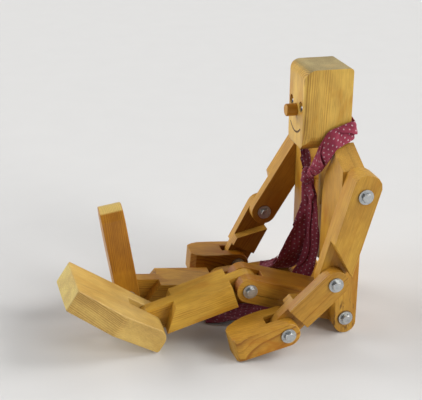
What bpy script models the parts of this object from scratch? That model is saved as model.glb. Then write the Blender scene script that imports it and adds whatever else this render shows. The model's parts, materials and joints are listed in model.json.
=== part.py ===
"""Artist mannequin: a seated jointed figure of pine blocks on hex bolts, with a knotted scarf.

The figure faces -Y and its left side is +X. The floor is z = 0. Every limb is drawn in its own
frame, whose origin is on its joint axis: the limb runs along -Y, X is across it, +Z is its top.
Every limb hangs from an empty on its joint axis, so the figure poses by turning the empties.
"""
import math
import bpy
import bmesh
from mathutils import Matrix, Vector

MM = 0.001
GAP = 0.0003                                   # running gap between pieces

# ---- frame
ORIGIN_Y = 0.1524                              # moves the hips back, so the bounding box is centred

# ---- torso and head
TORSO_X = (0.0209, 0.0846)                     # inner and outer side of one torso half
TORSO_Y = (-0.0078, 0.0198)                    # front and back
TORSO_APEX = (0.0435, 0.2329)                  # shoulder ridge, x and z
SHOULDER_OUT_Z = 0.2128                        # where the shoulder slope meets the outer side
NOTCH = ((0.0435, 0.2113), (0.0285, 0.1915), (0.0209, 0.1660))   # neck notch: points of its side
CHEEK_X = 0.0648                               # inner side of the hip cheek
CROTCH_Z = (0.064, 0.042)                      # underside of the torso, front and back
CORE_X = 0.0206                                # half width of the core
CORE_Y = (-0.0030, 0.0180)
CORE_Z = (0.0660, 0.1640)
NECK_R = 0.0115
NECK_Z = (0.140, 0.245)
NECK_Y = 0.0065
HEAD_X = 0.0316
HEAD_Y = (-0.0385, 0.0205)
HEAD_Z = (0.2195, 0.3194)
NOSE_R, NOSE_Z, NOSE_OUT = 0.0075, 0.2648, 0.0132
EYE_X, EYE_Z, EYE_R, EYE_DEPTH = 0.0172, 0.2725, 0.0064, 0.0050
BALL_R, PUPIL_R = 0.0040, 0.0020                # half-ball of the eye, and its pupil
SMILE = (-0.0005, 0.2625, 0.0250)              # centre x and z, and radius
SMILE_W, SMILE_DEPTH = 0.0012, 0.0010
CORNER_R = 0.0060                              # rounded upright corners of the face

# ---- limbs: lateral positions
ARM_X = (0.0849, 0.1148)
ARM_MID = 0.09985
WRIST_TONGUE = 0.0140                          # width of the forearm's tongue
LEG_X = (0.0145, 0.0645)
LEG_MID = 0.0395
LEG_TONGUE = 0.0164

# ---- limbs: lengths between joints, half heights, and angles above level
UPPER_ARM, FOREARM, THIGH, SHIN = 0.1121, 0.0805, 0.1227, 0.1310
H_UPPER, H_FORE, H_HAND, H_THIGH, H_SHIN, H_FOOT = 0.0170, 0.0165, 0.0150, 0.0160, 0.0150, 0.0144
SHOULDER = (0.0094, 0.1922)                    # y and z
HIP = (0.0060, 0.0207)
POSE = {                                       # the limb's angle above level, left and right
    "upper_arm": (-74.5, -58.3),
    "forearm": (-43.1, -62.0),
    "hand": (-12.6, 5.0),
    "thigh": (19.0, -2.2),
    "shin": (-16.3, 5.8),
    "foot": (33.8, 81.8),
}
TOE = {"left": 0.1105, "right": 0.1198}        # ankle to toe

# ---- fasteners
BOLT_R, HOLE_R = 0.0030, 0.0034
WASHER_R, WASHER_T = 0.0090, 0.0016
HEX_R, HEAD_T, NUT_T = 0.00577, 0.0038, 0.0036

# ---- scarf
CLOTH_T = 0.0024


def clear():
    for ob in list(bpy.data.objects):
        bpy.data.objects.remove(ob, do_unlink=True)


clear()
scene = bpy.context.scene
figure = bpy.data.collections.new("artist_mannequin")
tools = bpy.data.collections.new("cutters")
scene.collection.children.link(figure)
scene.collection.children.link(tools)


def material(name, color, rough, metal=0.0):
    mat = bpy.data.materials.new(name)
    mat.use_nodes = True
    node = mat.node_tree.nodes["Principled BSDF"]
    node.inputs["Base Color"].default_value = (*color, 1)
    node.inputs["Roughness"].default_value = rough
    node.inputs["Metallic"].default_value = metal
    return mat


WOOD = (0.60, 0.40, 0.15)
STEEL = (0.58, 0.60, 0.62)
CLOTH = (0.20, 0.03, 0.05)


def tint(color, k):
    return tuple(c * k for c in color)


def finish(ob, name, mat, parent=None, smooth=35):
    ob.name = ob.data.name = name
    for c in list(ob.users_collection):
        c.objects.unlink(ob)
    figure.objects.link(ob)
    ob.data.materials.clear()
    ob.data.materials.append(mat)
    ob.data.shade_smooth()
    ob.data.set_sharp_from_angle(angle=math.radians(smooth))
    if parent is not None:
        ob.parent = parent
    return ob


def plate(points, lo, hi, turn="x"):
    """A flat outline given a thickness from lo to hi: across X from (y, z) points,
    along Z from (x, y) points, or along Y from (x, z) points."""
    curve = bpy.data.curves.new("outline", "CURVE")
    curve.dimensions = "2D"
    curve.fill_mode = "BOTH"
    curve.extrude = (hi - lo) / 2
    line = curve.splines.new("POLY")
    line.points.add(len(points) - 1)
    for p, (u, v) in zip(line.points, points):
        p.co = (u, v, 0, 1)
    line.use_cyclic_u = True
    guide = bpy.data.objects.new("outline", curve)
    tools.objects.link(guide)
    bpy.context.view_layer.update()
    graph = bpy.context.evaluated_depsgraph_get()
    mesh = bpy.data.meshes.new_from_object(guide.evaluated_get(graph))
    bpy.data.objects.remove(guide)
    bm = bmesh.new()
    bm.from_mesh(mesh)
    bmesh.ops.remove_doubles(bm, verts=bm.verts, dist=1e-6)
    mid = (lo + hi) / 2
    frames = {
        "x": Matrix(((0, 0, 1, mid), (1, 0, 0, 0), (0, 1, 0, 0), (0, 0, 0, 1))),
        "y": Matrix(((1, 0, 0, 0), (0, 0, -1, mid), (0, 1, 0, 0), (0, 0, 0, 1))),
        "z": Matrix.Translation((0, 0, mid)),
    }
    bmesh.ops.transform(bm, matrix=frames[turn], verts=bm.verts)
    bmesh.ops.recalc_face_normals(bm, faces=bm.faces)
    bm.to_mesh(mesh)
    bm.free()
    ob = bpy.data.objects.new("plate", mesh)
    tools.objects.link(ob)
    return ob


def side(side_x, lo, hi):
    """A lateral span on the left (+X) or the right (-X) side."""
    return (lo, hi) if side_x > 0 else (-hi, -lo)


def slab(side_x, st_points, lo, hi):
    """A plate from (s, t) points of a limb: s is along it, t is up from its axis."""
    return plate([(-s, t) for s, t in st_points], *side(side_x, lo, hi))


def arc(cs, ct, r, a0, a1, n):
    return [(cs + r * math.cos(math.radians(a0 + (a1 - a0) * i / n)),
             ct + r * math.sin(math.radians(a0 + (a1 - a0) * i / n))) for i in range(n + 1)]


def rod(r, lo, hi, n, at=(0, 0), axis="x"):
    """A cylinder along X from lo to hi at (y, z), or along Y or Z."""
    bm = bmesh.new()
    bmesh.ops.create_cone(bm, cap_ends=True, segments=n, radius1=r, radius2=r, depth=hi - lo)
    mid = (lo + hi) / 2
    if axis == "x":
        m = Matrix.Translation((mid, at[0], at[1])) @ Matrix.Rotation(math.pi / 2, 4, "Y")
    elif axis == "y":
        m = Matrix.Translation((at[0], mid, at[1])) @ Matrix.Rotation(math.pi / 2, 4, "X")
    else:
        m = Matrix.Translation((at[0], at[1], mid))
    bmesh.ops.transform(bm, matrix=m, verts=bm.verts)
    mesh = bpy.data.meshes.new("rod")
    bm.to_mesh(mesh)
    bm.free()
    ob = bpy.data.objects.new("rod", mesh)
    tools.objects.link(ob)
    return ob


def boolean(ob, tool, how="DIFFERENCE"):
    mod = ob.modifiers.new(how.lower(), "BOOLEAN")
    mod.operation = how
    mod.solver = "EXACT"
    mod.object = tool
    tool.hide_render = True
    tool.display_type = "WIRE"
    return mod


def freeze(ob):
    """Replaces an object's mesh by the result of its modifiers and removes their cutters."""
    bpy.context.view_layer.update()
    graph = bpy.context.evaluated_depsgraph_get()
    mesh = bpy.data.meshes.new_from_object(ob.evaluated_get(graph))
    used = [m.object for m in ob.modifiers if m.type == "BOOLEAN"]
    ob.modifiers.clear()
    ob.data = mesh
    for tool in used:
        if tool.name in bpy.data.objects:
            bpy.data.objects.remove(tool)
    return ob


def soften(ob, width=0.0006, angle=40):
    mod = ob.modifiers.new("edges", "BEVEL")
    mod.width = width
    mod.segments = 1
    mod.limit_method = "ANGLE"
    mod.angle_limit = math.radians(angle)
    return ob


def joint(name, parent, y, z, degrees_up):
    """An empty on a joint axis, turned so that its -Y points along the limb."""
    e = bpy.data.objects.new(name, None)
    e.empty_display_size = 0.02
    figure.objects.link(e)
    e.parent = parent
    e.location = (0, y, z)
    e.rotation_euler = (-math.radians(degrees_up), 0, 0)
    return e


root = joint("figure_root", None, ORIGIN_Y, 0, 0)


# ---------------------------------------------------------------- fasteners
def ring(r_out, r_in, lo, hi, n=18):
    """A washer, turned from its closed profile with Screw."""
    mesh = bpy.data.meshes.new("ring")
    bm = bmesh.new()
    vs = [bm.verts.new((x, 0, z)) for x, z in ((r_out, hi), (r_out, lo), (r_in, lo), (r_in, hi))]
    for i in range(4):
        bm.edges.new((vs[i], vs[(i + 1) % 4]))
    bm.to_mesh(mesh)
    bm.free()
    ob = bpy.data.objects.new("ring", mesh)
    tools.objects.link(ob)
    mod = ob.modifiers.new("turn", "SCREW")
    mod.steps = mod.render_steps = n
    mod.use_merge_vertices = True
    mod.merge_threshold = 0.00001
    freeze(ob)
    ob.data.transform(Matrix.Rotation(math.pi / 2, 4, "Y"))
    return ob


def cone(ob, tip, d):
    """Chamfers the corners of a hexagon whose outer face is at x = tip, facing d."""
    bm = bmesh.new()
    bmesh.ops.create_cone(bm, cap_ends=True, segments=18, radius1=HEX_R * 1.9, radius2=HEX_R * 0.86,
                          depth=0.0100)
    turn = Matrix.Rotation(math.copysign(math.pi / 2, d), 4, "Y")
    bmesh.ops.transform(bm, matrix=Matrix.Translation((tip - d * 0.0050, 0, 0)) @ turn, verts=bm.verts)
    mesh = bpy.data.meshes.new("cone")
    bm.to_mesh(mesh)
    bm.free()
    tool = bpy.data.objects.new("cone", mesh)
    tools.objects.link(tool)
    boolean(ob, tool, "INTERSECT")
    freeze(ob)


def fasteners(name, frame, sx, at, face, far_face, tip, out=1, nut=True):
    """Bolt, washers and nut on one joint axis at (y, z) of a frame. The head sits outside `face`,
    on the side that `out` points to; the nut sits outside `far_face`, or the shank ends at `tip`."""
    y, z = at
    d = sx * out

    def span(a, b):
        return (a, b) if a < b else (b, a)

    head0 = face * sx + d * (WASHER_T + 2 * GAP)
    end = far_face * sx - d * (WASHER_T + NUT_T + 2 * GAP) if nut else tip * sx
    head = rod(HEX_R, *span(head0, head0 + d * HEAD_T), 6)
    cone(head, head0 + d * HEAD_T, d)
    shank = rod(BOLT_R, *span(end, head0 + d * 0.001), 12)
    boolean(head, shank, "UNION")
    bolt = freeze(head)
    bolt.data.transform(Matrix.Translation((0, y, z)))
    finish(bolt, "bolt_" + name, steel_for("bolt_" + name), frame)
    washer = ring(WASHER_R, HOLE_R, *span(face * sx + d * GAP, face * sx + d * (GAP + WASHER_T)))
    washer.data.transform(Matrix.Translation((0, y, z)))
    finish(washer, "washer_" + name, steel_for("washer_" + name), frame)
    if nut:                                    # a hexagon with its washer, as one flanged nut
        n0 = far_face * sx - d * GAP
        body = rod(HEX_R, *span(n0 - d * WASHER_T / 2, n0 - d * (WASHER_T + NUT_T + GAP)), 6)
        cone(body, n0 - d * (WASHER_T + NUT_T + GAP), -d)
        boolean(body, rod(WASHER_R, *span(n0, n0 - d * WASHER_T), 20), "UNION")
        freeze(body)
        boolean(body, rod(HOLE_R - 0.0001, *span(n0 + d * 0.001, n0 - d * 0.02), 12))
        freeze(body)
        body.data.transform(Matrix.Translation((0, y, z)))
        finish(body, "nut_" + name, steel_for("nut_" + name), frame)


def steel_for(name):
    return material(name, STEEL, 0.35, 0.9)


def hole(ob, lo, hi, at=(0, 0), r=HOLE_R):
    boolean(ob, rod(r, min(lo, hi), max(lo, hi), 14, at))


# ---------------------------------------------------------------- torso
ty0, ty1 = TORSO_Y
for nm, sx in (("left", 1), ("right", -1)):
    xi, xo = TORSO_X
    outline = [(xi, -0.01), (xo, -0.01), (xo, SHOULDER_OUT_Z), TORSO_APEX, *NOTCH]
    half = plate([(sx * x, z) for x, z in outline], ty0 - 0.01, ty1 + 0.01, "y")
    # rounded lower end of the hip cheek, in side view
    r = (ty1 - ty0) / 2
    mid = (ty0 + ty1) / 2
    edge = [(mid + r * math.cos(a), r + r * math.sin(a)) for a in
            [math.pi + math.pi * i / 12 for i in range(13)]]
    cheek = plate([(ty0, 0.30), *edge, (ty1, 0.30)], *side(sx, xi - 0.01, xo + 0.01))
    boolean(half, cheek, "INTERSECT")
    # room for the thigh inside the cheek
    room = plate([(ty0 - 0.01, -0.02), (ty1 + 0.01, -0.02), (ty1 + 0.01, CROTCH_Z[1] - 0.008),
                  (ty1, CROTCH_Z[1]), (ty0, CROTCH_Z[0]), (ty0 - 0.01, CROTCH_Z[0] + 0.008)],
                 *side(sx, xi - 0.01, CHEEK_X))
    boolean(half, room)
    hole(half, sx * (CHEEK_X - 0.01), sx * (xo + 0.01), HIP)
    hole(half, sx * 0.0500, sx * (xo + 0.01), SHOULDER)
    freeze(half)
    soften(half, 0.0008)
    finish(half, "torso_" + nm, material("torso_" + nm, tint(WOOD, 1.0), 0.45), root)

# core between the halves, and the neck dowel in it
core = plate([(-CORE_X, CORE_Z[0]), (CORE_X, CORE_Z[0]), (CORE_X, CORE_Z[1]), (-CORE_X, CORE_Z[1])],
             *CORE_Y, "y")
boolean(core, rod(NECK_R + GAP, NECK_Z[0] - GAP, 0.3, 32, (0, NECK_Y), "z"))
freeze(core)
finish(core, "torso_core", material("torso_core", tint(WOOD, 0.8), 0.5), root)
neck = rod(NECK_R, *NECK_Z, 28, (0, NECK_Y), "z")
finish(neck, "neck_dowel", material("neck_dowel", WOOD, 0.45), root)

# ---------------------------------------------------------------- head
head_frame = joint("neck_turn", root, NECK_Y, 0, 0)
hz0, hz1 = HEAD_Z
hy0, hy1 = HEAD_Y[0] - NECK_Y, HEAD_Y[1] - NECK_Y
R_TOP, R_CHIN, R_BACK = 0.0135, 0.0040, 0.0045
profile = ([(hy1, hz0 + 0.002)] + arc(hy1 - R_BACK, hz1 - R_BACK, R_BACK, 0, 90, 4)
           + arc(hy0 + R_TOP, hz1 - R_TOP, R_TOP, 90, 180, 8)
           + arc(hy0 + R_CHIN, hz0 + R_CHIN, R_CHIN, 180, 270, 4) + [(hy1 - 0.002, hz0)])
block = plate(profile, -HEAD_X, HEAD_X)
w, c = HEAD_X, CORNER_R
upright = [(w + 0.01, hy1 + 0.01), (w + 0.01, hy0 + 0.02)] + [(w, hy0 + 0.019)]
upright += [(w - c + c * math.cos(q), hy0 + c + c * math.sin(q))
            for q in [-math.pi / 2 * i / 5 for i in range(6)]]
plan = upright + [(-x, y) for x, y in reversed(upright)]
boolean(block, plate(plan, hz0 - 0.01, hz1 + 0.01, "z"), "INTERSECT")
freeze(block)


def halfspace(ob, point, normal):
    """Pares away everything beyond a plane."""
    bm = bmesh.new()
    bmesh.ops.create_cube(bm, size=0.12)
    n = Vector(normal).normalized()
    bmesh.ops.transform(bm, matrix=Matrix.Translation(Vector(point) + n * 0.06)
                        @ n.to_track_quat("Z", "Y").to_matrix().to_4x4(), verts=bm.verts)
    mesh = bpy.data.meshes.new("halfspace")
    bm.to_mesh(mesh)
    bm.free()
    tool = bpy.data.objects.new("halfspace", mesh)
    tools.objects.link(tool)
    boolean(ob, tool)


jaw = [(w, hz1 + 0.01), (w, hz0 + 0.0185), (w - 0.0014, hz0 + 0.0140), (w - 0.0038, hz0 + 0.0095),
       (w - 0.0071, hz0 + 0.0054), (w - 0.0110, hz0 + 0.0020), (w - 0.0158, hz0 - 0.0001)]
boolean(block, plate(jaw + [(-x, z) for x, z in reversed(jaw)], hy0 - 0.01, hy1 + 0.01, "y"),
        "INTERSECT")                            # jaw: rounded below each cheek
for s in (1, -1):                               # the chin's corner
    halfspace(block, (s * HEAD_X, hy0 + 0.0020, hz0 + 0.0300), (s * 0.930, -0.320, -0.200))
boolean(block, rod(NECK_R + GAP, 0.2, NECK_Z[1] + GAP, 32, (0, 0), "z"))
boolean(block, rod(NOSE_R + GAP, hy0 - 0.005, hy0 + 0.012, 28, (0, NOSE_Z), "y"))
for s in (1, -1):
    boolean(block, rod(EYE_R, hy0 - 0.005, hy0 + EYE_DEPTH, 28, (s * EYE_X, EYE_Z), "y"))
sx0, sz0, sr = SMILE                            # the carved smile is a groove along an arc
turns = [math.radians(222 + (318 - 222) * i / 14) for i in range(15)]
smile = [(sx0 + (sr + SMILE_W / 2) * math.cos(q), sz0 + (sr + SMILE_W / 2) * math.sin(q)) for q in turns]
smile += [(sx0 + (sr - SMILE_W / 2) * math.cos(q), sz0 + (sr - SMILE_W / 2) * math.sin(q))
          for q in reversed(turns)]
freeze(block)
soften(block, 0.0010, 50)
freeze(block)
boolean(block, plate(smile, hy0 - 0.005, hy0 + SMILE_DEPTH, "y"))
freeze(block)
finish(block, "head", material("head", WOOD, 0.45), head_frame)
nose = rod(NOSE_R, hy0 - NOSE_OUT, hy0 + 0.012 - GAP, 28, (0, NOSE_Z), "y")
soften(nose, 0.0010)
finish(nose, "nose", material("nose", WOOD, 0.45), head_frame)


def ball(r, at, squeeze=1.0):
    bm = bmesh.new()
    bmesh.ops.create_uvsphere(bm, u_segments=18, v_segments=10, radius=r)
    bmesh.ops.transform(bm, matrix=Matrix.Translation(at) @ Matrix.Diagonal((1, squeeze, 1, 1)),
                        verts=bm.verts)
    mesh = bpy.data.meshes.new("ball")
    bm.to_mesh(mesh)
    bm.free()
    ob = bpy.data.objects.new("ball", mesh)
    tools.objects.link(ob)
    return ob


for nm, s in (("left", 1), ("right", -1)):      # half-balls that sit low in their sockets
    seat = hy0 + EYE_DEPTH - GAP
    at = (s * EYE_X, seat, EYE_Z - 0.0020)
    pupil_at = (s * EYE_X, seat - BALL_R + 0.0010, EYE_Z - 0.0024)
    white = ball(BALL_R, at)
    boolean(white, rod(BALL_R * 2, seat - 0.02, seat, 12, (s * EYE_X, EYE_Z), "y"), "INTERSECT")
    boolean(white, ball(PUPIL_R + GAP / 2, pupil_at, 0.75))
    freeze(white)
    finish(white, "eye_" + nm, material("eye_" + nm, (0.75, 0.74, 0.70), 0.4), head_frame)
    finish(ball(PUPIL_R, pupil_at, 0.75), "pupil_" + nm,
           material("pupil_" + nm, (0.02, 0.03, 0.08), 0.3), head_frame)

# ---------------------------------------------------------------- arms
HAND_PLAN = {  # outline in plan: outward from the middle, and forward from the wrist
    "left": [(0.0234, -0.020), (0.0236, 0.020), (0.0240, 0.056), (0.0230, 0.0625), (0.0195, 0.0652), (-0.0060, 0.0672),
             (-0.0120, 0.0638), (-0.0190, 0.0530), (-0.0225, 0.0420), (-0.0243, 0.0270),
             (-0.0240, 0.0160), (-0.0225, 0.0100), (-0.0225, -0.0090), (-0.0200, -0.020)],
    "right": [(0.0223, -0.020), (0.0223, 0.0350), (0.0213, 0.0500), (0.0185, 0.0580), (0.0130, 0.0650),
              (-0.0140, 0.0655), (-0.0213, 0.0585), (-0.0242, 0.0490), (-0.0243, 0.0270),
              (-0.0225, 0.0110), (-0.0225, -0.0090), (-0.0200, -0.020)],
}
HAND_OUT = {"left": 0.0236, "right": 0.0225}
for nm, sx in (("left", 1), ("right", -1)):
    k = 0 if sx > 0 else 1
    a_up, a_fore, a_hand = (POSE[p][k] for p in ("upper_arm", "forearm", "hand"))
    x0, x1 = ARM_X
    h = H_UPPER
    frame_up = joint("shoulder_" + nm, root, *SHOULDER, a_up)
    top = [(-0.0120, -h), (-0.0185, -0.0145), (-0.0235, -0.0090), (-0.0255, -0.0015),
           (-0.0250, 0.0055), (-0.0215, 0.0125), (-0.0150, h)]
    body = slab(sx, top + arc(UPPER_ARM, 0, h, 90, -90, 12), x0, x1)
    lap = [(UPPER_ARM - 0.0555, h + 0.0077), (UPPER_ARM + 0.05, h + 0.0077),
           (UPPER_ARM + 0.05, -h - 0.0077), (UPPER_ARM - 0.0038, -h - 0.0077)]
    boolean(body, slab(sx, lap, ARM_MID - GAP / 2, x1 + 0.01))
    hole(body, sx * (x0 - 0.01), sx * (x1 + 0.01))
    hole(body, sx * (x0 - 0.01), sx * (x1 + 0.01), (-UPPER_ARM, 0))
    freeze(body)
    soften(body, 0.0008)
    finish(body, "upper_arm_" + nm, material("upper_arm_" + nm, WOOD, 0.45), frame_up)
    fasteners("shoulder_" + nm, root, sx, SHOULDER, x1, x0, 0.052, nut=False)

    h = H_FORE
    frame_fore = joint("elbow_" + nm, frame_up, -UPPER_ARM, 0, a_fore - a_up)
    end = FOREARM + 0.0005
    body = slab(sx, arc(0, 0, h, 90, 270, 12) + [(end - 0.006, -h)] + arc(end, 0, 0.0142, -70, 70, 8)
                + [(end - 0.006, h)], x0, x1)
    lap = [(0.0560, h + 0.0083), (-0.05, h + 0.0083), (-0.05, -h - 0.0083), (0.0130, -h - 0.0083)]
    boolean(body, slab(sx, lap, x0 - 0.01, ARM_MID + GAP / 2))
    for lo, hi in ((x0 - 0.01, ARM_MID - WRIST_TONGUE / 2), (ARM_MID + WRIST_TONGUE / 2, x1 + 0.01)):
        boolean(body, slab(sx, [(0.0600, 0.03), (0.14, 0.03), (0.14, -0.03), (0.0600, -0.03)], lo, hi))
    hole(body, sx * (x0 - 0.01), sx * (x1 + 0.01))
    hole(body, sx * (x0 - 0.01), sx * (x1 + 0.01), (-FOREARM, 0))
    freeze(body)
    soften(body, 0.0008)
    finish(body, "forearm_" + nm, material("forearm_" + nm, WOOD, 0.45), frame_fore)
    fasteners("elbow_" + nm, frame_fore, sx, (0, 0), x1, x0, 0)

    h = H_HAND
    frame_hand = joint("wrist_" + nm, frame_fore, -FOREARM, 0, a_hand - a_fore)
    body = slab(sx, arc(0, 0, h, 90, 270, 12) + [(0.0675, -h), (0.0695, -h + 0.003),
                                                 (0.0695, h - 0.003), (0.0675, h)],
                ARM_MID - 0.03, ARM_MID + 0.03)
    shape = plate([(sx * (ARM_MID + w), -s) for w, s in HAND_PLAN[nm]], -0.03, 0.03, "z")
    boolean(body, shape, "INTERSECT")
    slot = WRIST_TONGUE / 2 + GAP
    boolean(body, slab(sx, [(-0.05, 0.03), (0.0200, 0.03), (0.0200, -0.03), (-0.05, -0.03)],
                       ARM_MID - slot, ARM_MID + slot))
    hole(body, sx * (ARM_MID - 0.04), sx * (ARM_MID + 0.04))
    freeze(body)
    soften(body, 0.0008)
    finish(body, "hand_" + nm, material("hand_" + nm, WOOD, 0.45), frame_hand)
    fasteners("wrist_" + nm, frame_hand, sx, (0, 0), ARM_MID + HAND_OUT[nm], ARM_MID - 0.0226, 0)

# ---------------------------------------------------------------- legs
for nm, sx in (("left", 1), ("right", -1)):
    k = 0 if sx > 0 else 1
    a_thigh, a_shin, a_foot = (POSE[p][k] for p in ("thigh", "shin", "foot"))
    x0, x1 = LEG_X
    slot = LEG_TONGUE / 2 + GAP
    h = H_THIGH
    frame_thigh = joint("hip_" + nm, root, *HIP, a_thigh)
    body = slab(sx, arc(0, 0, h, 90, 270, 14) + arc(THIGH, 0, h, -90, 90, 14), x0, x1)
    boolean(body, slab(sx, [(THIGH - 0.0165, 0.03), (THIGH + 0.05, 0.03), (THIGH + 0.05, -0.03),
                            (THIGH - 0.0165, -0.03)], LEG_MID - slot, LEG_MID + slot))
    hole(body, sx * (x0 - 0.01), sx * (x1 + 0.01))
    hole(body, sx * (x0 - 0.01), sx * (x1 + 0.01), (-THIGH, 0))
    freeze(body)
    soften(body, 0.0008)
    finish(body, "thigh_" + nm, material("thigh_" + nm, WOOD, 0.45), frame_thigh)
    fasteners("hip_" + nm, root, sx, HIP, TORSO_X[1], x0, 0)
    fasteners("knee_" + nm, frame_thigh, sx, (-THIGH, 0), x1, x0, 0)

    h = H_SHIN
    frame_shin = joint("knee_" + nm, frame_thigh, -THIGH, 0, a_shin - a_thigh)
    body = slab(sx, arc(0, 0, h, 90, 270, 12) + [(SHIN - 0.006, -h)]
                + arc(SHIN, 0, 0.0135, -65, 65, 8) + [(SHIN - 0.006, h)], x0, x1)
    for lo, hi in ((x0 - 0.01, LEG_MID - LEG_TONGUE / 2), (LEG_MID + LEG_TONGUE / 2, x1 + 0.01)):
        boolean(body, slab(sx, [(-0.05, 0.03), (0.0190, 0.03), (0.0190, -0.03), (-0.05, -0.03)], lo, hi))
        boolean(body, slab(sx, [(0.0810, h + 0.0141), (0.19, h + 0.0141), (0.19, -h - 0.0141),
                                (0.1200, -h - 0.0141)], lo, hi))
    hole(body, sx * (x0 - 0.01), sx * (x1 + 0.01))
    hole(body, sx * (x0 - 0.01), sx * (x1 + 0.01), (-SHIN, 0))
    freeze(body)
    soften(body, 0.0008)
    finish(body, "shin_" + nm, material("shin_" + nm, WOOD, 0.45), frame_shin)

    h = H_FOOT
    toe = TOE[nm]
    frame_foot = joint("ankle_" + nm, frame_shin, -SHIN, 0, a_foot - a_shin)
    body = slab(sx, [(toe + 0.02, -h), (toe + 0.02, h)] + arc(-0.0055, h - 0.0150, 0.0150, 90, 180, 10)
                + [(-0.0205, -h + 0.003), (-0.0190, -h)], 0.0, 0.12)
    if nm == "left":
        plan = [(0.0115, -0.03), (0.0115, 0.0120), (0.0088, 0.0450), (0.0080, toe), (0.0140, toe + 0.0015),
                (0.0480, toe - 0.0015), (0.0810, toe - 0.0050), (0.0915, 0.0440), (0.0800, -0.03)]
    else:
        plan = [(0.0115, -0.03), (0.0115, toe - 0.013), (0.0170, toe - 0.003), (0.0300, toe + 0.001),
                (0.0420, toe - 0.002), (0.0620, toe - 0.020), (0.0760, toe - 0.045),
                (0.0830, 0.0440), (0.0780, -0.03)]
    boolean(body, plate([(sx * x, -s) for x, s in plan], -0.03, 0.03, "z"), "INTERSECT")
    boolean(body, slab(sx, [(-0.05, 0.03), (0.0310, 0.03), (0.0310, -0.03), (-0.05, -0.03)],
                       LEG_MID - slot, LEG_MID + slot))
    hole(body, 0.0, sx * 0.0660)
    freeze(body)
    soften(body, 0.0008)
    finish(body, "foot_" + nm, material("foot_" + nm, WOOD, 0.45), frame_foot)
    fasteners("ankle_" + nm, frame_foot, sx, (0, 0), 0.0115, 0, 0.0640, out=-1, nut=False)


# ---------------------------------------------------------------- scarf
def smooth_line(points, n):
    """Catmull-Rom points through a list of control tuples."""
    out = []
    last = len(points) - 1
    for i in range(n + 1):
        f = i / n * last
        j = min(int(f), last - 1)
        t = f - j
        p0, p1, p2, p3 = (points[max(0, min(last, j + d))] for d in (-1, 0, 1, 2))
        out.append(tuple(0.5 * (2 * b + (c - a) * t + (2 * a - 5 * b + 4 * c - d) * t * t
                                + (3 * b - a - 3 * c + d) * t ** 3)
                         for a, b, c, d in zip(p0, p1, p2, p3)))
    return out


def ribbon(name, stations, n, color):
    """A band of cloth between two edges: each station is one point of each edge."""
    rows = smooth_line([(*a, *b) for a, b in stations], n)
    bm = bmesh.new()
    last = None
    for r in rows:
        a, b = Vector(r[:3]), Vector(r[3:])
        line = [bm.verts.new(a.lerp(b, k / 3)) for k in range(4)]
        if last:
            for k in range(3):
                bm.faces.new((last[k], last[k + 1], line[k + 1], line[k]))
        last = line
    mesh = bpy.data.meshes.new(name)
    bm.to_mesh(mesh)
    bm.free()
    ob = bpy.data.objects.new(name, mesh)
    tools.objects.link(ob)
    mod = ob.modifiers.new("thickness", "SOLIDIFY")
    mod.thickness = CLOTH_T
    mod.offset = 0
    freeze(ob)
    bm = bmesh.new()
    bm.from_mesh(ob.data)
    bmesh.ops.recalc_face_normals(bm, faces=bm.faces)
    bm.to_mesh(ob.data)
    bm.free()
    return finish(ob, name, material(name, color, 0.9), root, 60)


upper = [  # upper edge, from behind the head forward to the knot, on the left
    (0.0000, 0.0230, 0.2570), (0.0180, 0.0230, 0.2570), (0.0330, 0.0228, 0.2560),
    (0.0336, 0.0140, 0.2530), (0.0336, 0.0040, 0.2476), (0.0336, -0.0060, 0.2425),
    (0.0318, -0.0156, 0.2265), (0.0280, -0.0189, 0.2167), (0.0210, -0.0208, 0.2048),
    (0.0098, -0.0228, 0.1900)]
lower_left = [
    (0.0000, 0.0245, 0.2360), (0.0180, 0.0245, 0.2360), (0.0375, 0.0245, 0.2365),
    (0.0460, 0.0150, 0.2358), (0.0520, 0.0035, 0.2333), (0.0590, -0.0068, 0.2310),
    (0.0555, -0.0132, 0.2175), (0.0405, -0.0128, 0.2050), (0.0280, -0.0134, 0.1926),
    (0.0155, -0.0158, 0.1842)]
lower_right = lower_left[:6] + [(0.0530, -0.0132, 0.2165), (0.0375, -0.0120, 0.2060),
                                (0.0250, -0.0110, 0.1960), (0.0140, -0.0145, 0.1850)]
loop = [((-a[0], a[1], a[2]), (-b[0], b[1], b[2])) for a, b in list(zip(upper, lower_right))[:0:-1]]
ribbon("scarf_loop", loop + list(zip(upper, lower_left)), 40, CLOTH)

bm = bmesh.new()
bmesh.ops.create_icosphere(bm, subdivisions=2, radius=1)
bmesh.ops.transform(bm, matrix=Matrix.Translation((0, -0.0210, 0.1790)) @ Matrix.Diagonal(
    (0.0086, 0.0075, 0.0100, 1)), verts=bm.verts)
mesh = bpy.data.meshes.new("scarf_knot")
bm.to_mesh(mesh)
bm.free()
knot = bpy.data.objects.new("scarf_knot", mesh)
tools.objects.link(knot)
finish(knot, "scarf_knot", material("scarf_knot", CLOTH, 0.9), root, 60)

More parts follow.
